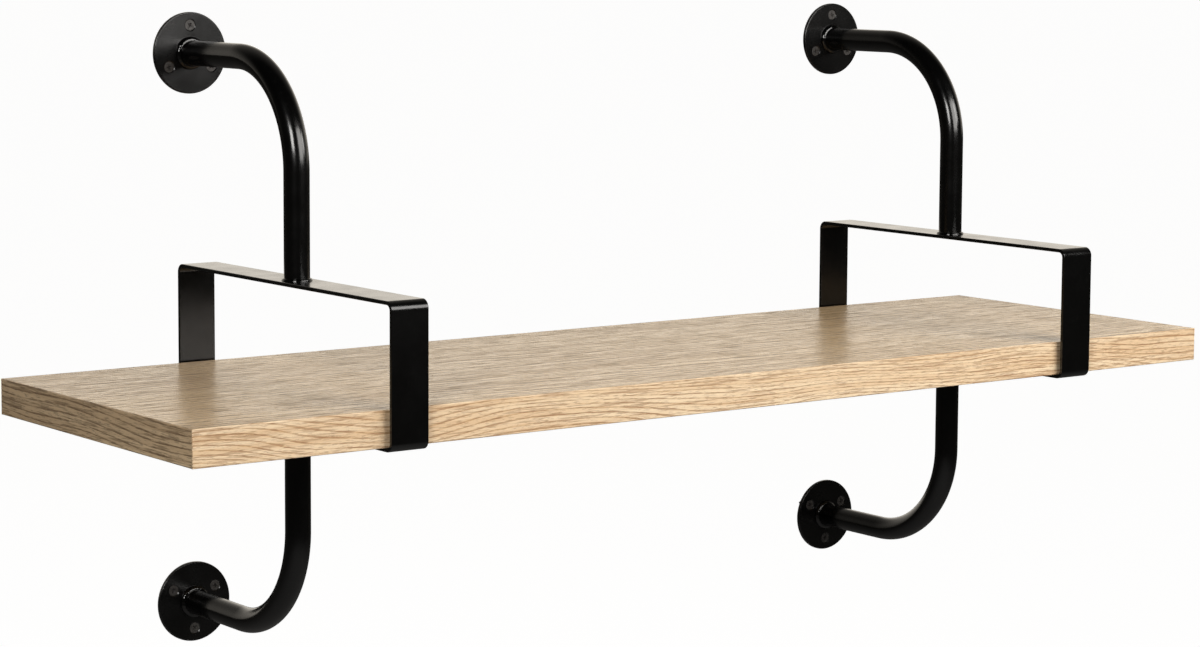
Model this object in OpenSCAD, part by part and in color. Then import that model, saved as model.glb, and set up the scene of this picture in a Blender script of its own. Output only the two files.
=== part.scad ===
// Wall shelf: a veneered board held in two bracket loops of flat steel strap.
// Each loop hangs between two bent steel tubes that end in round screw-on wall flanges.
// Millimetres. +X runs along the board, +Y points into the wall, +Z is up.
// The origin lies in the wall plane, midway between the four flanges.

/* [Board] */
// Length of the board, along X
board_length = 1000; // [760:10:1400]
// Depth of the board, from its front edge to its back edge
board_depth = 300; // [220:5:400]
// Thickness of the finished board
board_thickness = 28; // [18:1:40]
// How far the board is slid along the loops from its middle position
board_shift = -11; // [-40:1:40]
// Thickness of the veneer on the top and bottom faces
veneer_thickness = 0.6; // [0.4:0.1:2]
// Thickness of the edge bands round the board
edge_band_thickness = 1; // [0.5:0.1:3]

/* [Strap loops] */
// Distance between the middles of the two brackets
bracket_spacing = 672; // [450:1:900]
// Width of the flat strap, along the board
strap_width = 32; // [26:1:50]
// Thickness of the flat strap
strap_thickness = 3; // [2:0.5:5]
// Inside radius of the loop's four corners
strap_bend_radius = 4; // [3:0.5:12]
// Free height inside the loop, above the board
head_room = 76; // [40:1:160]
// Gap between the board's edge and the start of the loop's bends, in front and behind
board_play = 0.25; // [0:0.25:5]
// Gap between the loop and the wall
wall_gap = 8; // [2:1:40]

/* [Arm tubes] */
// Outside diameter of the tube
tube_d = 20; // [14:1:24]
// Wall thickness of the tube
tube_wall = 2; // [1:0.5:3]
// Distance from the loop's outer face to the middle of the flange
arm_rise = 167; // [110:1:260]
// Radius of the tube's bend, to its centre line
tube_bend_radius = 85; // [40:1:100]

/* [Wall flanges] */
// Diameter of the flange
flange_d = 65; // [58:1:90]
// Thickness of the flange
flange_thickness = 3; // [2.5:0.5:6]
// Diameter of the circle that the three screws lie on
screw_circle_d = 44; // [42:1:50]
// Number of screws in a flange
screws_per_flange = 3; // [3:1:4]

/* [Weld beads] */
// Leg of the bead between a tube and its flange
flange_weld_leg = 3.5; // [2:0.5:4]
// Leg of the bead between a tube and its strap loop
strap_weld_leg = 2; // [1:0.5:3]

/* [Wall screws] */
// Thread diameter of a wall screw
wall_screw_d = 4.5; // [4:0.5:5]
// Diameter of the plain neck below the head
wall_screw_neck_d = 3.8; // [3:0.1:3.9]
// Diameter of the countersunk head
wall_screw_head_d = 8.8; // [8:0.1:9.2]
// Length of a wall screw, from the top of its head to its point
wall_screw_length = 16; // [16:1:80]
// Length of the screw's cone-shaped point
wall_screw_point = 4; // [3:1:8]
// How far the head sits below the flange's face
head_sink = 0.5; // [0:0.1:0.8]
// Gap all round between the screw's thread and its hole
hole_clearance = 0.35; // [0.2:0.05:0.6]
// Width of the slots in a screw's cross recess
recess_slot = 1; // [0.6:0.1:1.4]
// Length of the slots in a screw's cross recess
recess_span = 4.8; // [3:0.1:5.5]
// Depth of a screw's cross recess
recess_depth = 1.6; // [1:0.1:1.9]

/* [Board screws] */
// Thread diameter of a board screw
board_screw_d = 4; // [3:0.5:5]
// Length of a board screw below its head
board_screw_length = 20; // [12:1:22]
// Length of the board screw's cone-shaped point
board_screw_point = 3; // [2:0.5:5]
// Diameter of the pan head
board_screw_head_d = 8; // [7:0.5:10]
// Height of the pan head
board_screw_head_h = 2.6; // [2:0.1:4]
// Distance of each board screw from the middle of the loop
board_screw_offset = 90; // [40:5:100]

/* [Hidden] */
$fn = 64;

LEFT = -1;
RIGHT = 1;
FRONT = -1;
BACK = 1;
UPPER = 1;
LOWER = -1;

oak = "burlywood";
chipboard = "peru";
black_steel = "dimgray";
black_screw = "black";

// Extra length that lets a cutting shape run clean through what it cuts
cut = 1;

// The board's square corners stay clear of the loop's bends
board_gap = strap_bend_radius + board_play;

// The loop's outside, in the YZ plane, and the line of its two tubes
loop_depth = board_depth + 2 * board_gap + 2 * strap_thickness;
loop_height = board_thickness + head_room + 2 * strap_thickness;
arm_y = -(wall_gap + loop_depth / 2);
flange_z = loop_height / 2 + arm_rise;

// The board's lower face rests on the lower strap
board_bottom = -loop_height / 2 + strap_thickness;
core_length = board_length - 2 * edge_band_thickness;
core_depth = board_depth - 2 * edge_band_thickness;
core_thickness = board_thickness - 2 * veneer_thickness;

// The straight lengths of a tube, on either side of its bend
upright_length = arm_rise - tube_bend_radius;
reach_length = -arm_y - tube_bend_radius - flange_thickness;

// The countersunk hole in a flange is a clearance hole with a cone that fits the head
wall_hole_d = wall_screw_d + 2 * hole_clearance;
countersink_d = wall_screw_head_d + 2 * head_sink;
countersink_depth = (countersink_d - wall_hole_d) / 2;
head_depth = (wall_screw_head_d - wall_screw_neck_d) / 2;
// The thread starts just inside the wall, clear of the flange
thread_start = 0.4;
board_hole_d = board_screw_d + 2 * hole_clearance;

// ---- shared shapes ----

// A block along X whose four long edges are rounded; it is centred on the origin
module rounded_block(length, depth, height, radius) {
    cube([length, depth - 2 * radius, height], center = true);
    cube([length, depth, height - 2 * radius], center = true);
    for (y = [-1, 1], z = [-1, 1])
        translate([-length / 2, y * (depth / 2 - radius), z * (height / 2 - radius)])
            rotate([0, 90, 0])
                cylinder(h = length, r = radius);
}

// A cross recess of two slots, cut downwards from z = 0
module cross_recess() {
    for (turn = [0, 90])
        rotate([0, 0, turn])
            translate([-recess_span / 2, -recess_slot / 2, -recess_depth])
                cube([recess_span, recess_slot, recess_depth + cut]);
}

// A fillet bead on the plane z = 0, round a tube that stands on it
module weld_bead(leg) {
    color(black_steel)
        rotate_extrude()
            translate([tube_d / 2, 0])
                intersection() {
                    circle(r = leg);
                    square(leg);
                }
}

// Puts a bracket's piece at the left or right bracket
module at_bracket(side) {
    translate([side * bracket_spacing / 2, 0, 0])
        children();
}

// Turns an upper piece into the matching lower one
module at_level(level) {
    mirror([0, 0, level == LOWER ? 1 : 0])
        children();
}

// Stands a piece on the wall plane at the upper flange's centre, its own +Z out from the wall
module on_wall() {
    translate([0, 0, flange_z])
        rotate([90, 0, 0])
            children();
}

// Repeats a piece round the flange's screw circle, the first one straight above the centre
module round_screw_circle() {
    for (i = [0 : screws_per_flange - 1])
        rotate([0, 0, 90 + i * 360 / screws_per_flange])
            translate([screw_circle_d / 2, 0, 0])
                children();
}

// Repeats a piece at the two board screws, on the lower face of the lower strap
module at_board_screws() {
    for (side = [FRONT, BACK])
        translate([0, arm_y + side * board_screw_offset, -loop_height / 2])
            children();
}

// ---- board ----

// Puts a piece in the board's own place, which is centred over the loops' lower straps
module at_board() {
    translate([board_shift, arm_y, board_bottom])
        children();
}

// A flat sheet of the core's plan, from the height z upwards
module core_sheet(z, thickness) {
    at_board()
        translate([-core_length / 2, -core_depth / 2, z])
            cube([core_length, core_depth, thickness]);
}

// The holes that the board screws fill
module board_screw_holes() {
    for (side = [LEFT, RIGHT])
        at_bracket(side)
            at_board_screws()
                board_screw_shank();
}

module board_core() {
    color(chipboard)
        difference() {
            core_sheet(veneer_thickness, core_thickness);
            board_screw_holes();
        }
}

module board_top_veneer() {
    color(oak)
        core_sheet(board_thickness - veneer_thickness, veneer_thickness);
}

module board_bottom_veneer() {
    color(oak)
        difference() {
            core_sheet(0, veneer_thickness);
            board_screw_holes();
        }
}

// The front band, or the back one, covers the whole length of the board
module long_edge(side) {
    color(oak)
        at_board()
            translate([0, side * (board_depth - edge_band_thickness) / 2, board_thickness / 2])
                cube([board_length, edge_band_thickness, board_thickness], center = true);
}

// The bands on the short edges fit between the front band and the back one
module short_edge(side) {
    color(oak)
        at_board()
            translate([side * (board_length - edge_band_thickness) / 2, 0, board_thickness / 2])
                cube([edge_band_thickness, core_depth, board_thickness], center = true);
}

// ---- bracket ----

module strap_loop() {
    color(black_steel)
        difference() {
            translate([0, arm_y, 0])
                rounded_block(strap_width, loop_depth, loop_height, strap_bend_radius + strap_thickness);
            translate([0, arm_y, 0])
                rounded_block(strap_width + 2 * cut, loop_depth - 2 * strap_thickness,
                    loop_height - 2 * strap_thickness, strap_bend_radius);
            at_board_screws()
                translate([0, 0, -cut])
                    cylinder(h = strap_thickness + 2 * cut, d = board_hole_d);
        }
}

// A solid rod along the arm's centre line, from the loop's upper strap to the flange
module arm_rod(d, extra) {
    translate([0, arm_y, loop_height / 2 - extra])
        cylinder(h = upright_length + extra, d = d);
    translate([0, arm_y + tube_bend_radius, loop_height / 2 + upright_length])
        rotate([90, 0, -90])
            rotate_extrude(angle = 90)
                translate([tube_bend_radius, 0])
                    circle(d = d);
    translate([0, arm_y + tube_bend_radius, flange_z])
        rotate([-90, 0, 0])
            cylinder(h = reach_length + extra, d = d);
}

module arm_tube() {
    color(black_steel)
        difference() {
            arm_rod(tube_d, 0);
            arm_rod(tube_d - 2 * tube_wall, cut);
        }
}

module flange() {
    color(black_steel)
        on_wall()
            difference() {
                cylinder(h = flange_thickness, d = flange_d);
                round_screw_circle() {
                    translate([0, 0, -cut])
                        cylinder(h = flange_thickness + 2 * cut, d = wall_hole_d);
                    translate([0, 0, flange_thickness - countersink_depth])
                        cylinder(h = countersink_depth, d1 = wall_hole_d, d2 = countersink_d);
                }
            }
}

module flange_weld() {
    on_wall()
        translate([0, 0, flange_thickness])
            weld_bead(flange_weld_leg);
}

module strap_weld() {
    translate([0, arm_y, loop_height / 2])
        weld_bead(strap_weld_leg);
}

// ---- screws ----

// One countersunk wood screw, pointing down from the top of its head at z = 0
module wall_screw() {
    // Where the thread starts, just behind the flange's back face
    thread_top = -(flange_thickness - head_sink + thread_start);
    color(black_screw) {
        difference() {
            translate([0, 0, -head_depth])
                cylinder(h = head_depth, d1 = wall_screw_neck_d, d2 = wall_screw_head_d);
            cross_recess();
        }
        translate([0, 0, thread_top])
            cylinder(h = -thread_top - head_depth, d = wall_screw_neck_d);
        translate([0, 0, -wall_screw_length + wall_screw_point])
            cylinder(h = wall_screw_length - wall_screw_point + thread_top, d = wall_screw_d);
        translate([0, 0, -wall_screw_length])
            cylinder(h = wall_screw_point, d1 = 0, d2 = wall_screw_d);
    }
}

module wall_screws() {
    on_wall()
        round_screw_circle()
            translate([0, 0, flange_thickness - head_sink])
                wall_screw();
}

// The shank of a board screw, with its point up; z = 0 is the underside of the strap
module board_screw_shank() {
    cylinder(h = board_screw_length - board_screw_point, d = board_screw_d);
    translate([0, 0, board_screw_length - board_screw_point])
        cylinder(h = board_screw_point, d1 = board_screw_d, d2 = 0);
}

module board_screws() {
    color(black_screw)
        at_board_screws() {
            board_screw_shank();
            difference() {
                translate([0, 0, -board_screw_head_h])
                    cylinder(h = board_screw_head_h, d = board_screw_head_d);
                translate([0, 0, -board_screw_head_h])
                    mirror([0, 0, 1])
                        cross_recess();
            }
        }
}

// ---- assembly ----

board_core();
board_top_veneer();
board_bottom_veneer();
long_edge(FRONT);  // board_front_edge
long_edge(BACK);  // board_back_edge
short_edge(LEFT);  // board_left_edge
short_edge(RIGHT);  // board_right_edge

at_bracket(LEFT) strap_loop();  // left_strap_loop
at_bracket(RIGHT) strap_loop();  // right_strap_loop

at_bracket(LEFT) at_level(UPPER) arm_tube();  // left_upper_tube
at_bracket(LEFT) at_level(LOWER) arm_tube();  // left_lower_tube
at_bracket(RIGHT) at_level(UPPER) arm_tube();  // right_upper_tube
at_bracket(RIGHT) at_level(LOWER) arm_tube();  // right_lower_tube

at_bracket(LEFT) at_level(UPPER) flange();  // left_upper_flange
at_bracket(LEFT) at_level(LOWER) flange();  // left_lower_flange
at_bracket(RIGHT) at_level(UPPER) flange();  // right_upper_flange
at_bracket(RIGHT) at_level(LOWER) flange();  // right_lower_flange

at_bracket(LEFT) at_level(UPPER) flange_weld();  // left_upper_flange_weld
at_bracket(LEFT) at_level(LOWER) flange_weld();  // left_lower_flange_weld
at_bracket(RIGHT) at_level(UPPER) flange_weld();  // right_upper_flange_weld
at_bracket(RIGHT) at_level(LOWER) flange_weld();  // right_lower_flange_weld

at_bracket(LEFT) at_level(UPPER) strap_weld();  // left_upper_strap_weld
at_bracket(LEFT) at_level(LOWER) strap_weld();  // left_lower_strap_weld
at_bracket(RIGHT) at_level(UPPER) strap_weld();  // right_upper_strap_weld
at_bracket(RIGHT) at_level(LOWER) strap_weld();  // right_lower_strap_weld

at_bracket(LEFT) at_level(UPPER) wall_screws();  // left_upper_wall_screws
at_bracket(LEFT) at_level(LOWER) wall_screws();  // left_lower_wall_screws
at_bracket(RIGHT) at_level(UPPER) wall_screws();  // right_upper_wall_screws
at_bracket(RIGHT) at_level(LOWER) wall_screws();  // right_lower_wall_screws

at_bracket(LEFT) board_screws();  // left_board_screws
at_bracket(RIGHT) board_screws();  // right_board_screws
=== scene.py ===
import math
import random

import bmesh
import bpy
from mathutils import Matrix, Vector, noise


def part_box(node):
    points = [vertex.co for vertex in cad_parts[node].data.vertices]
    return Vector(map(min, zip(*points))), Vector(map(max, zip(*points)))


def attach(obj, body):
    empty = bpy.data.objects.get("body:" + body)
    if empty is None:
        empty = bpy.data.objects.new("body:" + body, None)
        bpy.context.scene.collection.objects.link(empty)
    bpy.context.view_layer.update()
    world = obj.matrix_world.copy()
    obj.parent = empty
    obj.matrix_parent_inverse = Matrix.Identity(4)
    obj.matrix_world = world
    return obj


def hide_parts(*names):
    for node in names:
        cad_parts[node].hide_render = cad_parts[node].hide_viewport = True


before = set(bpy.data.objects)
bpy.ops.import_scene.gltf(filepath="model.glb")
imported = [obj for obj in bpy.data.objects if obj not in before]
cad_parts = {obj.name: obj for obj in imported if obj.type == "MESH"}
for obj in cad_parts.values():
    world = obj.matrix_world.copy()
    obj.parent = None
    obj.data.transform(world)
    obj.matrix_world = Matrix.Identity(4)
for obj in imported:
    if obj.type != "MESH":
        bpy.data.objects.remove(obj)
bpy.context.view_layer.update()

# Lengths are in metres, in the CAD model's frame: +X along the board, +Y into the wall, +Z up.
MM = 0.001
NEAR = 1e-6                  # places closer than this are the same
SIDES = ("left", "right")
LEVELS = ("upper", "lower")
random.seed(7)


# ---- sizes taken from the CAD model ----

def middle(node):
    low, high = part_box(node)
    return (low + high) / 2


def extent(node):
    low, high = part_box(node)
    return high - low


TUBE_R = extent("left_upper_tube").x / 2
FLANGE_R = extent("left_upper_flange").x / 2
FLANGE_T = extent("left_upper_flange").y
STRAP_WIDTH = extent("left_strap_loop").x
LOOP_LOW, LOOP_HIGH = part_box("left_strap_loop")
ARM_Y = middle("left_strap_loop").y
FLANGE_Z = middle("left_upper_flange").z
SCREW_LENGTH = extent("left_upper_wall_screws").y

# Sizes that no box of a CAD node gives
TUBE_WALL = 2 * MM
TUBE_BEND = 85 * MM
STRAP_T = 3 * MM
STRAP_BEND = 7 * MM          # outside radius of the loop's corners
SCREW_CIRCLE = 22 * MM       # radius of the circle that a flange's screws lie on
SCREW_HEAD_R = 4.4 * MM
SCREW_NECK_R = 1.9 * MM
SCREW_ROOT_R = 1.5 * MM
SCREW_THREAD_R = 2.25 * MM
SCREW_SINK = 0.5 * MM        # the head's top lies this far below the flange's face
SCREW_POINT = 4 * MM
SCREW_HOLE_R = 2.6 * MM
SCREW_PITCH = 2 * MM
SCREW_SLOT = 1 * MM          # width of the cross recess's arms, on every screw
BOARD_SCREW_OFFSET = 90 * MM     # from the tube's axis, towards the front and the back
BOARD_SCREW_R = 2 * MM
BOARD_SCREW_NECK_R = 1.4 * MM
BOARD_SCREW_HOLE_R = 2.35 * MM
BOARD_SCREW_LENGTH = 20 * MM
BOARD_SCREW_POINT = 3 * MM
BOARD_SCREW_PITCH = 1.8 * MM
BOARD_SCREW_HEAD_R = 4 * MM
BOARD_SCREW_HEAD_H = 2.6 * MM


# ---- materials ----

class NodeTree:
    """Adds nodes to one node tree and links them."""

    def __init__(self, tree):
        self.tree = tree

    def feed(self, socket, value):
        if isinstance(value, bpy.types.NodeSocket):
            self.tree.links.new(value, socket)
        else:
            socket.default_value = value

    def node(self, kind, inputs=None, **settings):
        made = self.tree.nodes.new("ShaderNode" + kind)
        for key, value in settings.items():
            setattr(made, key, value)
        for key, value in (inputs or {}).items():
            self.feed(made.inputs[key], value)
        return made

    def math(self, operation, *values):
        return self.node("Math", dict(enumerate(values)), operation=operation).outputs[0]

    def scaled(self, vector, scale):
        return self.node("VectorMath", {0: vector, 1: scale}, operation="MULTIPLY").outputs[0]

    def noise(self, vector, scale, detail=2.0, roughness=0.5):
        settings = {"Vector": self.scaled(vector, scale), "Scale": 1.0,
                    "Detail": detail, "Roughness": roughness}
        return self.node("TexNoise", settings).outputs[0]

    def remap(self, value, low, high, to_low=0.0, to_high=1.0):
        settings = {"Value": value, "From Min": low, "From Max": high, "To Min": to_low, "To Max": to_high}
        return self.node("MapRange", settings, interpolation_type="SMOOTHSTEP").outputs[0]

    def mix(self, factor, first, second):
        made = self.node("Mix", data_type="RGBA")
        self.feed(made.inputs[0], factor)
        self.feed(made.inputs[6], first)
        self.feed(made.inputs[7], second)
        return made.outputs[2]

    def bump(self, height, distance, strength=1.0):
        return self.node("Bump", {"Height": height, "Distance": distance, "Strength": strength}).outputs[0]


class Shader(NodeTree):
    """Builds one material."""

    def __init__(self, name):
        self.material = bpy.data.materials.new(name)
        self.material.use_nodes = True
        super().__init__(self.material.node_tree)
        self.surface = self.tree.nodes["Principled BSDF"]

    def set(self, **values):
        for key, value in values.items():
            self.feed(self.surface.inputs[key.replace("_", " ")], value)
        return self.material


def rgb(red, green, blue):
    return (red, green, blue, 1.0)


def oak(name, across, turn, tones, ring_gap, wander, waves, fineness, gloss):
    """Lacquered oak whose grain runs along X, or along Y when turn is 90 degrees.

    across is the direction that the growth rings follow each other in, ring_gap apart. They bend
    by a part of wander, in about so many waves a metre. fineness is the pores across a metre.
    """
    light, brown, pore = tones
    shader = Shader(name)
    place = shader.node("TexCoord").outputs["Object"]
    grain = shader.node("Mapping", {"Vector": place, "Rotation": (0, 0, math.radians(turn))}).outputs[0]
    # Growth rings: planes across the grain, bent by slow noise into long waves
    depth = shader.node("VectorMath", {0: grain, 1: across}, operation="DOT_PRODUCT").outputs["Value"]
    slow = shader.noise(grain, (waves, 18, 18), 1.0)
    quick = shader.noise(grain, (4, 110, 110), 2.0)
    bent = shader.math("MULTIPLY_ADD", slow, wander, depth)
    bent = shader.math("MULTIPLY_ADD", quick, 0.30 * ring_gap, bent)
    ring = shader.math("FRACT", shader.math("DIVIDE", bent, ring_gap))
    early = shader.math("MAXIMUM", shader.remap(ring, 0.36, 0.04), shader.remap(ring, 0.93, 1.0))
    # Pores: short dashes along the grain, crowded in the early wood
    dashes = shader.noise(grain, (34, fineness, fineness), 2.0, 0.6)
    pores = shader.remap(shader.math("MULTIPLY_ADD", early, 0.12, dashes), 0.51, 0.65)
    ticks = shader.noise(grain, (150, 2.2 * fineness, 2.2 * fineness), 2.0, 0.6)
    vessels = shader.remap(shader.math("MULTIPLY_ADD", early, 0.12, ticks), 0.54, 0.68)
    # Streaks and broad patches of lighter and browner wood
    streaks = shader.remap(shader.noise(grain, (4, 150, 150), 3.0, 0.62), 0.40, 0.60)
    patches = shader.remap(shader.noise(grain, (2.0, 26, 26), 2.0), 0.36, 0.66)
    fibres = shader.noise(grain, (160, 2600, 2600), 2.0)
    browning = shader.math("MULTIPLY", early, 0.26)
    browning = shader.math("MULTIPLY_ADD", streaks, 0.27, browning)
    browning = shader.math("MULTIPLY_ADD", patches, 0.16, browning)
    browning = shader.math("MULTIPLY_ADD", fibres, 0.20, browning)
    colour = shader.mix(browning, light, brown)
    colour = shader.mix(shader.math("MULTIPLY", pores, 0.50), colour, pore)
    colour = shader.mix(shader.math("MULTIPLY", vessels, 0.50), colour, pore)
    pitted = shader.math("MULTIPLY_ADD", pores, -0.8, shader.math("MULTIPLY", fibres, 0.3))
    pitted = shader.math("MULTIPLY_ADD", vessels, -0.8, pitted)
    sheen = shader.math("MULTIPLY_ADD", pores, 0.16, shader.remap(streaks, 0.0, 1.0, gloss, gloss + 0.06))
    return shader.set(Base_Color=colour, Roughness=sheen, Normal=shader.bump(pitted, 0.12 * MM, 0.9))


def chipboard(name):
    """Raw pressed chips, as in the core."""
    shader = Shader(name)
    place = shader.node("TexCoord").outputs["Object"]
    chips = shader.node("TexVoronoi", {"Vector": shader.scaled(place, (420, 420, 900)), "Scale": 1.0})
    tone = shader.remap(chips.outputs["Distance"], 0.1, 0.9)
    colour = shader.mix(tone, rgb(0.52, 0.39, 0.24), rgb(0.26, 0.17, 0.09))
    return shader.set(Base_Color=colour, Roughness=0.8, Normal=shader.bump(tone, 0.2 * MM, 0.6))


def powder_coat(name, tone, rough, peel):
    """Black powder coat: a fine orange peel, with faint patches where it is glossier."""
    shader = Shader(name)
    place = shader.node("TexCoord").outputs["Object"]
    peel_noise = shader.noise(place, (900, 900, 900), 2.0, 0.55)
    grit = shader.noise(place, (4200, 4200, 4200), 1.0)
    cloud = shader.noise(place, (38, 38, 38), 3.0, 0.6)
    height = shader.math("MULTIPLY_ADD", grit, 0.25, peel_noise)
    gloss = shader.remap(cloud, 0.3, 0.7, rough - 0.03, rough + 0.04)
    dust = shader.remap(shader.noise(place, (260, 260, 260), 3.0, 0.7), 0.52, 0.80)
    colour = shader.mix(shader.math("MULTIPLY", dust, 0.35), tone, rgb(0.006, 0.0057, 0.0054))
    return shader.set(Base_Color=colour, Roughness=gloss, Normal=shader.bump(height, peel, 0.5))


def phosphated(name):
    """Black phosphated screw steel, a little rubbed."""
    shader = Shader(name)
    place = shader.node("TexCoord").outputs["Object"]
    mottle = shader.remap(shader.noise(place, (700, 700, 700), 3.0, 0.65), 0.38, 0.68)
    colour = shader.mix(mottle, rgb(0.030, 0.027, 0.025), rgb(0.060, 0.055, 0.050))
    gloss = shader.remap(mottle, 0.0, 1.0, 0.60, 0.46)
    return shader.set(Base_Color=colour, Roughness=gloss, Normal=shader.bump(mottle, 0.02 * MM, 0.5))


def make_materials():
    top_tones = (rgb(0.92, 0.675, 0.39), rgb(0.395, 0.23, 0.105), rgb(0.09, 0.052, 0.024))
    edge_tones = (rgb(0.93, 0.76, 0.53), rgb(0.61, 0.345, 0.145), rgb(0.29, 0.135, 0.05))
    end_tones = (rgb(0.85, 0.645, 0.405), rgb(0.33, 0.195, 0.092), rgb(0.10, 0.058, 0.028))
    return {
        "top": oak("oak_top", (0.02, 1, 0.6), 0, top_tones, 7.5 * MM, 45 * MM, 2.2, 420, 0.22),
        "long_edge": oak("oak_long_edge", (0.03, 0.5, 1), 0, edge_tones, 3.2 * MM, 40 * MM, 5, 820, 0.36),
        "short_edge": oak("oak_short_edge", (0.03, 0.5, 1), 90, end_tones, 4.4 * MM, 24 * MM, 5, 600, 0.36),
        "core": chipboard("chipboard"),
        "steel": powder_coat("black_powder_coat", rgb(0.0012, 0.0012, 0.0012), 0.17, 0.008 * MM),
        "flange": powder_coat("black_powder_coat_flange", rgb(0.0025, 0.0025, 0.0024), 0.24, 0.010 * MM),
        "weld": powder_coat("black_powder_coat_weld", rgb(0.0012, 0.0012, 0.0012), 0.09, 0.006 * MM),
        "screw": phosphated("black_phosphate"),
    }


# ---- mesh helpers ----

def new_object(name, mesh):
    made = bpy.data.objects.new(name, mesh)
    bpy.context.scene.collection.objects.link(made)
    return made


def from_bmesh(name, bm):
    bmesh.ops.recalc_face_normals(bm, faces=bm.faces)
    mesh = bpy.data.meshes.new(name)
    bm.to_mesh(mesh)
    bm.free()
    return new_object(name, mesh)


def shade(piece, crease=32):
    """Smooth shading that keeps corners sharper than crease degrees and leaves large faces flat."""
    mesh = piece.data
    mesh.shade_smooth()
    mesh.set_sharp_from_angle(angle=math.radians(crease))
    weighted = piece.modifiers.new("weighted_normals", "WEIGHTED_NORMAL")
    weighted.keep_sharp = True
    return piece


def grid_faces(bm, rows, close_rows, close_columns):
    """Quads between neighbouring rows of vertices; closing joins the last row or column to the first."""
    count, width = len(rows), len(rows[0])
    for i in range(count if close_rows else count - 1):
        for j in range(width if close_columns else width - 1):
            a, b = rows[i], rows[(i + 1) % count]
            k = (j + 1) % width
            bm.faces.new((a[j], a[k], b[k], b[j]))


def lathe(name, profile, segments=64):
    """Turns (radius, height) points round +Z; a point on the axis closes the shape there."""
    bm = bmesh.new()
    turns = [2 * math.pi * i / segments for i in range(segments)]
    rows = []
    for r, h in profile:
        if r > 0:
            rows.append([bm.verts.new((r * math.cos(t), r * math.sin(t), h)) for t in turns])
    grid_faces(bm, rows, False, True)
    for (r, h), row in ((profile[0], rows[0]), (profile[-1], rows[-1])):
        if r > 0:
            continue
        tip = bm.verts.new((0, 0, h))
        for i in range(segments):
            bm.faces.new((tip, row[i], row[(i + 1) % segments]))
    return from_bmesh(name, bm)


def arc(centre, radius, start, end, steps):
    """Points on a circle in a plane, with the angles in degrees."""
    angles = [math.radians(start + (end - start) * i / steps) for i in range(steps + 1)]
    return [(centre[0] + radius * math.cos(a), centre[1] + radius * math.sin(a)) for a in angles]


def cut_away(piece, cutters):
    """Takes the cutters out of the piece and deletes them."""
    for cutter in cutters:
        modifier = piece.modifiers.new("cut", "BOOLEAN")
        modifier.operation = "DIFFERENCE"
        modifier.solver = "EXACT"
        modifier.object = cutter
    bpy.context.view_layer.update()
    result = bpy.data.meshes.new_from_object(piece.evaluated_get(bpy.context.evaluated_depsgraph_get()))
    piece.modifiers.clear()
    piece.data = result
    for cutter in cutters:
        bpy.data.objects.remove(cutter)
    return piece


def move(piece, matrix):
    """Puts the place into the mesh, so that the object stays at the origin."""
    piece.data.transform(matrix)
    if matrix.determinant() < 0:
        piece.data.flip_normals()
    return piece


def finish_piece(piece, node, material):
    """Gives the piece its material and lets it stand for the CAD node."""
    piece.name = node + "_detail"
    piece.data.materials.clear()
    piece.data.materials.append(material)
    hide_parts(node)
    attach(piece, "root")
    return piece


# ---- board ----

EDGE_EASE = 0.9 * MM
VENEER_CHAMFER = 0.12 * MM


def eased_box(name, low, high, eased, radius, steps=3):
    """A box whose edges for which eased(middle of the edge) is true are rounded."""
    bm = bmesh.new()
    bmesh.ops.create_cube(bm, size=1.0)
    size, centre = high - low, (low + high) / 2
    for vertex in bm.verts:
        vertex.co = Vector(c * s for c, s in zip(vertex.co, size)) + centre
    edges = [e for e in bm.edges if eased((e.verts[0].co + e.verts[1].co) / 2)]
    bmesh.ops.bevel(bm, geom=edges, offset=radius, segments=steps, profile=0.5, affect="EDGES",
                    clamp_overlap=True)
    return shade(from_bmesh(name, bm))


def edge_band(node, axis, material):
    """An edge band with its outer corners eased; axis is the band's thin direction."""
    low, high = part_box(node)
    outside = low[axis] if middle(node)[axis] < middle("board_core")[axis] else high[axis]
    piece = eased_box(node, low, high, lambda p: abs(p[axis] - outside) < NEAR, EDGE_EASE)
    return finish_piece(piece, node, material)


def veneer(node, facing, material):
    """A sheet with a hair-thin chamfer on its outer face, which leaves the glue line visible."""
    low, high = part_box(node)
    outside = high.z if facing > 0 else low.z
    piece = eased_box(node, low, high, lambda p: abs(p.z - outside) < NEAR, VENEER_CHAMFER, 1)
    return finish_piece(piece, node, material)


def make_board(looks):
    edge_band("board_front_edge", 1, looks["long_edge"])
    edge_band("board_back_edge", 1, looks["long_edge"])
    edge_band("board_left_edge", 0, looks["short_edge"])
    edge_band("board_right_edge", 0, looks["short_edge"])
    veneer("board_top_veneer", 1, looks["top"])
    veneer("board_bottom_veneer", -1, looks["top"])
    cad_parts["board_core"].data.materials.clear()
    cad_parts["board_core"].data.materials.append(looks["core"])


# ---- bracket ----

def loop_path():
    """The centres of the loop's bends with the outward directions round each, as (y, z) pairs."""
    low_y, high_y = LOOP_LOW.y + STRAP_BEND, LOOP_HIGH.y - STRAP_BEND
    low_z, high_z = LOOP_LOW.z + STRAP_BEND, LOOP_HIGH.z - STRAP_BEND
    corners = ((high_y, high_z), (low_y, high_z), (low_y, low_z), (high_y, low_z))
    path = []
    for quarter, corner in enumerate(corners):
        start = 90 * quarter
        path += [(corner, outward) for outward in arc((0, 0), 1, start, start + 90, 14)]
    return path


STRAP_EASE = 0.45 * MM


def strap_section():
    """The strap's outline with eased corners, as (x, depth below the outer surface)."""
    half, ease = STRAP_WIDTH / 2, STRAP_EASE
    section = []
    for cx, depth, start in ((half - ease, ease, 0), (-half + ease, ease, 90),
                             (-half + ease, STRAP_T - ease, 180), (half - ease, STRAP_T - ease, 270)):
        section += [(x, depth - rise) for x, rise in arc((cx, 0), ease, start, start + 90, 4)]
    return section


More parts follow.
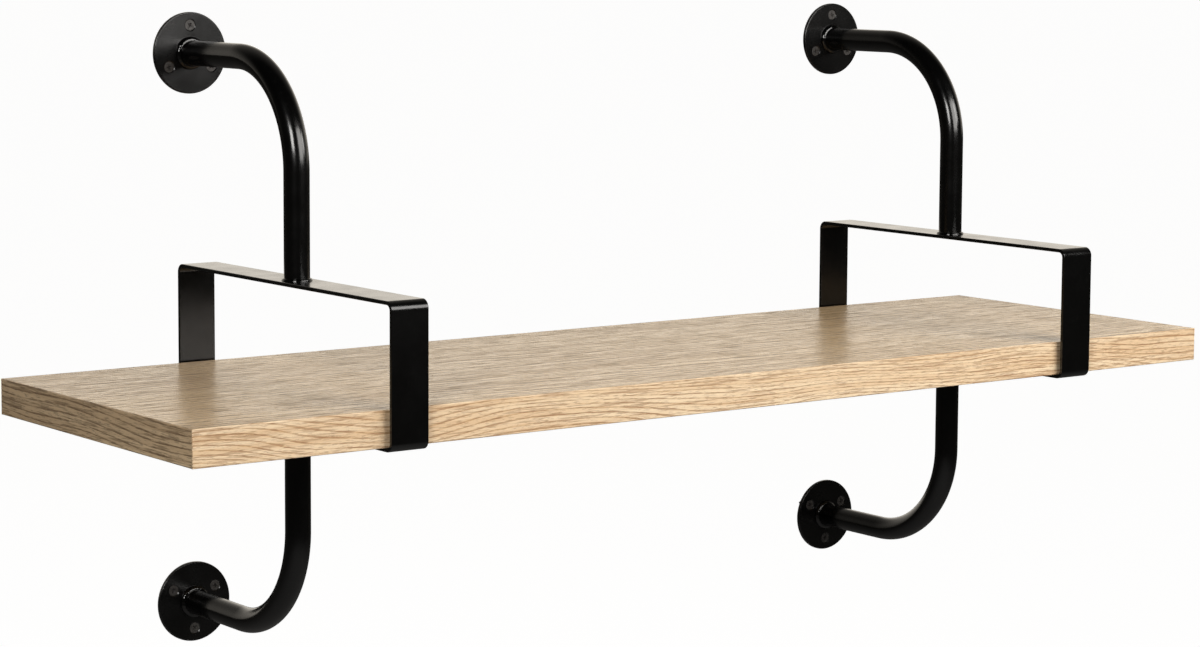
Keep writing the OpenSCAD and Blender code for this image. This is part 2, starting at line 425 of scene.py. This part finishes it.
def board_screw_places(side):
    """Where a bracket's two board screws meet the strap's underside."""
    x = middle(side + "_strap_loop").x
    return [Matrix.Translation((x, ARM_Y + way * BOARD_SCREW_OFFSET, LOOP_LOW.z)) for way in (-1, 1)]


def strap_loop(side, material):
    """The strap's section swept round the loop and drilled for the board screws."""
    node = side + "_strap_loop"
    middle_x = middle(node).x
    section = strap_section()
    bm = bmesh.new()
    rows = []
    for (bend_y, bend_z), (out_y, out_z) in loop_path():
        row = []
        for x, depth in section:
            reach = STRAP_BEND - depth
            row.append(bm.verts.new((middle_x + x, bend_y + out_y * reach, bend_z + out_z * reach)))
        rows.append(row)
    grid_faces(bm, rows, True, True)
    piece = from_bmesh(node, bm)
    hole, above, below = BOARD_SCREW_HOLE_R, 2 * STRAP_T, -STRAP_T
    drill = [(0, below), (hole, below), (hole, above), (0, above)]
    cut_away(piece, [move(lathe("drill", drill, 32), place) for place in board_screw_places(side)])
    return finish_piece(shade(piece), node, material)


BEND_SQUEEZE = 0.025         # how much a tube flattens in the middle of its bend


def arm_path():
    """The upper tube's centre line from strap to flange: (y, z), the angle across it and the squeeze."""
    top = LOOP_HIGH.z
    corner_y, corner_z = ARM_Y + TUBE_BEND, FLANGE_Z - TUBE_BEND
    path = [((ARM_Y, top + (corner_z - top) * i / 6), 180, 0.0) for i in range(6)]
    for y, z in arc((corner_y, corner_z), TUBE_BEND, 180, 90, 48):
        angle = math.degrees(math.atan2(z - corner_z, y - corner_y))
        path.append(((y, z), angle, math.sin(math.radians(2 * angle)) ** 2))
    end_y = -FLANGE_T
    path += [((corner_y + (end_y - corner_y) * i / 6, FLANGE_Z), 90, 0.0) for i in range(1, 7)]
    return path


def tube(side, level, material):
    """A bent tube, a touch oval in its bend as a drawn tube is, and open inside."""
    node = f"{side}_{level}_tube"
    x = middle(node).x
    bm = bmesh.new()
    skins = []
    for radius in (TUBE_R, TUBE_R - TUBE_WALL):
        rows = []
        for (y, z), angle, squeeze in arm_path():
            a = math.radians(angle)
            outward = Vector((0, math.cos(a), math.sin(a)))
            flat = radius * (1 - BEND_SQUEEZE * squeeze)
            row = []
            for i in range(64):
                t = 2 * math.pi * i / 64
                point = Vector((x + radius * math.sin(t), y, z)) + outward * (flat * math.cos(t))
                row.append(bm.verts.new(point))
            rows.append(row)
        grid_faces(bm, rows, False, True)
        skins.append(rows)
    for end in (0, -1):
        grid_faces(bm, [skins[0][end], skins[1][end]], False, True)
    piece = shade(from_bmesh(node, bm))
    if level == "lower":
        move(piece, Matrix.Scale(-1, 4, (0, 0, 1)))
    return finish_piece(piece, node, material)


def on_wall(side, level, height=0.0):
    """Stands a shape made round +Z on a flange's place, pointing out of the wall."""
    centre = middle(f"{side}_{level}_flange")
    return Matrix.Translation((centre.x, -height, centre.z)) @ Matrix.Rotation(math.radians(90), 4, "X")


def screw_places(level):
    """A flange's screws on their circle round +Z; one is straight above or below the middle."""
    first = 90 if level == "upper" else -90
    angles = [math.radians(first + 120 * i) for i in range(3)]
    return [Matrix.Translation((SCREW_CIRCLE * math.cos(a), SCREW_CIRCLE * math.sin(a), 0)) for a in angles]


def flange(side, level, material):
    """A disc with a rounded rim and three countersunk holes."""
    node = f"{side}_{level}_flange"
    rim, back = 0.9 * MM, 0.3 * MM
    profile = [(0, 0)]
    profile += arc((FLANGE_R - back, back), back, -90, 0, 3)
    profile += arc((FLANGE_R - rim, FLANGE_T - rim), rim, 0, 90, 6)
    profile += [(0, FLANGE_T)]
    disc = lathe(node, profile, 128)
    lip, over = 0.15 * MM, 0.02 * MM
    head = SCREW_HEAD_R + SCREW_SINK
    depth = head - SCREW_HOLE_R
    hole = [(0, -MM), (SCREW_HOLE_R, -MM), (SCREW_HOLE_R, FLANGE_T - depth), (head - lip, FLANGE_T - lip),
            (head + lip, FLANGE_T + over), (head + lip, FLANGE_T + MM), (0, FLANGE_T + MM)]
    cut_away(disc, [move(lathe("countersink", hole, 48), place) for place in screw_places(level)])
    move(disc, on_wall(side, level))
    return finish_piece(shade(disc, 28), node, material)


def weld_bead(name, inner, leg, ripples, seed):
    """A fillet bead round a tube on the plane z = 0, laid as a row of overlapping ripples."""
    bm = bmesh.new()
    steps, turns = 14, 20 * ripples
    rows = []
    for i in range(turns):
        angle = 2 * math.pi * i / turns
        swell = noise.noise(Vector((math.cos(angle), math.sin(angle), seed)) * 1.7)
        row = [bm.verts.new((inner * math.cos(angle), inner * math.sin(angle), 0))]
        for j in range(steps + 1):
            t = math.pi / 2 * j / steps
            belly = math.sin(2 * t)
            phase = angle * ripples + 2.2 * belly + 1.3 * swell
            ridge = 0.5 + 0.5 * math.cos(phase)
            reach = leg * (0.93 + 0.04 * swell + 0.025 * ridge * belly)
            r, z = inner + reach * math.cos(t), reach * math.sin(t)
            row.append(bm.verts.new((r * math.cos(angle), r * math.sin(angle), z)))
        rows.append(row)
    grid_faces(bm, rows, True, True)
    return shade(from_bmesh(name, bm), 60)


def flange_weld(side, level, seed, material):
    node = f"{side}_{level}_flange_weld"
    leg = extent(node).y
    piece = weld_bead(node, TUBE_R, leg, 26, seed)
    move(piece, on_wall(side, level, FLANGE_T))
    return finish_piece(piece, node, material)


def strap_weld(side, level, seed, material):
    node = f"{side}_{level}_strap_weld"
    leg = extent(node).z
    piece = weld_bead(node, TUBE_R, leg, 30, seed)
    move(piece, Matrix.Translation((middle(node).x, ARM_Y, LOOP_HIGH.z)))
    if level == "lower":
        move(piece, Matrix.Scale(-1, 4, (0, 0, 1)))
    return finish_piece(piece, node, material)


# ---- screws ----

def threaded(name, root, crest, pitch, start, length, point):
    """A wood screw's thread from z = start downwards, ending in a point, with one sharp spiral ridge."""
    around = 28
    tip_r, merge_gap = 0.03 * MM, 0.004 * MM
    # The ridge across one turn: share of the pitch, share of the ridge's height
    profile = [(0.0, 1.0), (0.10, 0.92), (0.24, 0.25), (0.40, 0.0), (0.76, 0.0), (0.90, 0.35)]
    end = start - length
    bm = bmesh.new()
    laps = int(length / pitch) + 2
    rows = []
    for lap in range(laps):
        for share, ridge in profile:
            row = []
            for i in range(around):
                z = start + pitch - (lap + share + i / around) * pitch
                z = max(min(z, start), end)
                fade = min(1.0, (start - z) / pitch)
                taper = min(1.0, (z - end) / point)
                r = (root + (crest - root) * ridge * fade) * taper ** 0.8
                r = max(r, tip_r)
                t = 2 * math.pi * i / around
                row.append(bm.verts.new((r * math.cos(t), r * math.sin(t), z)))
            rows.append(row)
    width = len(profile)
    for i in range(len(rows) - 1):
        for j in range(around - 1):
            bm.faces.new((rows[i][j], rows[i][j + 1], rows[i + 1][j + 1], rows[i + 1][j]))
    for i in range(width, len(rows) - 1):
        j = i - width
        bm.faces.new((rows[j][around - 1], rows[i][0], rows[i + 1][0], rows[j + 1][around - 1]))
    bmesh.ops.remove_doubles(bm, verts=bm.verts, dist=merge_gap)
    bmesh.ops.dissolve_degenerate(bm, edges=bm.edges, dist=merge_gap)
    bmesh.ops.holes_fill(bm, edges=bm.edges, sides=0)
    return from_bmesh(name, bm)


def cross_cutters(span, depth, turn, height=0.0):
    """The two tapering blades that cut a cross recess downwards from z = height."""
    lift = 0.3 * MM
    half_span, half_slot = span / 2, SCREW_SLOT / 2
    blades = []
    for quarter in (0, math.pi / 2):
        corners = []
        for z, length, width in ((lift, half_span * 1.05, half_slot * 1.06),
                                 (-depth, half_span * 0.42, half_slot * 0.62)):
            sides = ((length, width), (-length, width), (-length, -width), (length, -width))
            corners.append([(x, y, z) for x, y in sides])
        place = Matrix.Translation((0, 0, height)) @ Matrix.Rotation(turn + quarter, 4, "Z")
        bm = bmesh.new()
        top, bottom = ([bm.verts.new(place @ Vector(c)) for c in ring] for ring in corners)
        grid_faces(bm, [top, bottom], False, True)
        bm.faces.new(top)
        bm.faces.new(bottom)
        blades.append(from_bmesh("recess", bm))
    return blades


def joined(name, parts):
    """One mesh from several that touch or overlap."""
    bm = bmesh.new()
    for part in parts:
        bm.from_mesh(part.data)
        bpy.data.objects.remove(part)
    mesh = bpy.data.meshes.new(name)
    bm.to_mesh(mesh)
    bm.free()
    return new_object(name, mesh)


def wall_screw(turn):
    """A countersunk cross-recess wood screw that points down from its head's top at z = 0."""
    rim = 0.25 * MM
    cone = SCREW_HEAD_R - SCREW_NECK_R
    neck_end = -(FLANGE_T - SCREW_SINK) - 0.4 * MM
    profile = [(0, 0)]
    profile += arc((SCREW_HEAD_R - rim, -rim), rim, 90, -45, 5)
    profile += [(SCREW_NECK_R, -cone), (SCREW_NECK_R, neck_end - MM), (0, neck_end - MM)]
    head = lathe("head", profile, 48)
    cut_away(head, cross_cutters(4.8 * MM, 1.7 * MM, turn))
    thread = threaded("thread", SCREW_ROOT_R, SCREW_THREAD_R, SCREW_PITCH, neck_end,
                      SCREW_LENGTH + neck_end, SCREW_POINT)
    return joined("wall_screw", [head, thread])


def wall_screws(side, level, material):
    node = f"{side}_{level}_wall_screws"
    screws = []
    for place in screw_places(level):
        screw = wall_screw(random.uniform(0, math.pi / 2))
        screws.append(move(screw, on_wall(side, level, FLANGE_T - SCREW_SINK) @ place))
    return finish_piece(shade(joined(node, screws), 35), node, material)


def board_screw(turn):
    """A pan-head cross-recess screw that points down from the underside of its head at z = 0."""
    top, dome, rim = BOARD_SCREW_HEAD_H, 1.3 * MM, 0.1 * MM
    neck = BOARD_SCREW_NECK_R
    profile = [(0, top), (BOARD_SCREW_HEAD_R - dome, top)]
    profile += arc((BOARD_SCREW_HEAD_R - dome, top - dome), dome, 80, 0, 6)
    profile += [(BOARD_SCREW_HEAD_R, rim), (BOARD_SCREW_HEAD_R - rim, 0), (neck, 0), (neck, -MM), (0, -MM)]
    head = lathe("head", profile, 48)
    cut_away(head, cross_cutters(4.4 * MM, 1.6 * MM, turn, top))
    thread = threaded("thread", neck, BOARD_SCREW_R, BOARD_SCREW_PITCH, 0,
                      BOARD_SCREW_LENGTH, BOARD_SCREW_POINT)
    return joined("board_screw", [head, thread])


def board_screws(side, material):
    node = side + "_board_screws"
    flip = Matrix.Rotation(math.pi, 4, "X")
    screws = []
    for place in board_screw_places(side):
        screw = board_screw(random.uniform(0, math.pi / 2))
        screws.append(move(screw, place @ flip))
    return finish_piece(shade(joined(node, screws), 35), node, material)


def make_brackets(looks):
    """Both brackets; seed makes every weld bead swell in places of its own."""
    seed = 0.0
    for side in SIDES:
        strap_loop(side, looks["steel"])
        board_screws(side, looks["screw"])
        for level in LEVELS:
            seed += 3.7
            tube(side, level, looks["steel"])
            flange(side, level, looks["flange"])
            flange_weld(side, level, seed, looks["weld"])
            strap_weld(side, level, seed + 1.3, looks["weld"])
            wall_screws(side, level, looks["screw"])


# ---- studio ----

CAMERA_PLACE = (-1.5531, -2.1864, 0.3182)
CAMERA_YAW, CAMERA_PITCH, CAMERA_ROLL = -35.54, -5.993, 0.218   # degrees
VIEW_DIRECTION = (0.583, 0.813, 0)    # level, the way the camera looks
FLOOR_RADIUS, FLOOR_DEPTH = 400, 1.1


def make_floor():
    """A wide pale floor well below the shelf, which a camera under it looks through."""
    bm = bmesh.new()
    bmesh.ops.create_circle(bm, cap_ends=True, radius=FLOOR_RADIUS, segments=96)
    floor = from_bmesh("floor", bm)
    floor.location = (0, 0, -FLOOR_DEPTH)
    shader = Shader("floor_pale")
    seen = shader.node("LightPath").outputs["Is Camera Ray"]
    glow = shader.node("Emission", {"Color": rgb(1, 1, 1), "Strength": 0.945}).outputs[0]
    matt = shader.node("BsdfDiffuse", {"Color": rgb(0.30, 0.30, 0.30)}).outputs[0]
    lit = shader.node("AddShader", {0: glow, 1: matt}).outputs[0]
    upper_side = shader.node("MixShader", {0: seen, 1: matt, 2: lit}).outputs[0]
    below = shader.node("NewGeometry").outputs["Backfacing"]
    clear = shader.node("BsdfTransparent").outputs[0]
    surface = shader.node("MixShader", {0: below, 1: upper_side, 2: clear}).outputs[0]
    shader.feed(shader.tree.nodes["Material Output"].inputs["Surface"], surface)
    floor.data.materials.append(shader.material)


def make_world():
    """A dim studio with a white backdrop behind the shelf; the camera itself sees plain white."""
    world = bpy.data.worlds.new("studio")
    bpy.context.scene.world = world
    world.use_nodes = True
    shader = NodeTree(world.node_tree)
    background = world.node_tree.nodes["Background"]
    place = shader.node("TexCoord").outputs["Generated"]
    toward = shader.node("VectorMath", {0: place, 1: VIEW_DIRECTION}, operation="DOT_PRODUCT")
    backdrop = shader.remap(toward.outputs["Value"], 0.05, 0.85, 0.03, 1.22)
    # The backdrop fades out above the shelf
    height = shader.node("SeparateXYZ", {0: place}).outputs["Z"]
    backdrop = shader.math("MULTIPLY", backdrop, shader.remap(height, 0.15, 0.60, 1.0, 0.20))
    seen = shader.node("LightPath").outputs["Is Camera Ray"]
    shader.feed(background.inputs["Strength"], shader.math("MAXIMUM", backdrop, seen))
    shader.feed(background.inputs["Color"], shader.mix(seen, rgb(1.0, 0.93, 0.82), rgb(1, 1, 1)))


def softbox(name, place, aim, width, height, power, warmth):
    """A rectangular area light at place, turned towards aim; warmth 0 is white and 1 is lamplight."""
    light = bpy.data.lights.new(name, "AREA")
    light.shape = "RECTANGLE"
    light.size, light.size_y = width, height
    light.energy = power
    light.color = (1.0, 1.0 - 0.06 * warmth, 1.0 - 0.14 * warmth)
    holder = new_object(name, light)
    holder.location = place
    holder.rotation_euler = (Vector(aim) - Vector(place)).to_track_quat("-Z", "Y").to_euler()
    return holder


def make_lights():
    softbox("key", (0.32, -1.80, 0.80), (0, -0.2, 0), 1.15, 0.95, 25.5, 0.4)
    softbox("rim_right", (0.80, -1.12, 0.62), (0, -0.2, 0), 0.45, 0.4, 5.0, 0.4)
    softbox("fill_left", (-1.97, -1.63, 1.06), (0, -0.2, 0), 0.8, 0.8, 33, 0.3)


def make_camera():
    """Looks at the shelf from its front left, a little from above."""
    data = bpy.data.cameras.new("camera")
    camera = new_object("camera", data)
    yaw = Matrix.Rotation(math.radians(CAMERA_YAW), 4, "Z")
    pitch = Matrix.Rotation(math.radians(90 + CAMERA_PITCH), 4, "X")
    roll = Matrix.Rotation(math.radians(CAMERA_ROLL), 4, "Z")
    camera.matrix_world = Matrix.Translation(CAMERA_PLACE) @ yaw @ pitch @ roll
    data.sensor_width = 36
    data.lens = 93.51
    data.shift_x, data.shift_y = 0.05, -0.053
    data.clip_start, data.clip_end = 0.05, 900
    bpy.context.scene.camera = camera


def make_studio():
    make_floor()
    make_world()
    make_lights()
    make_camera()
    bpy.context.scene.view_settings.view_transform = "Standard"


looks = make_materials()
make_board(looks)
make_brackets(looks)
make_studio()
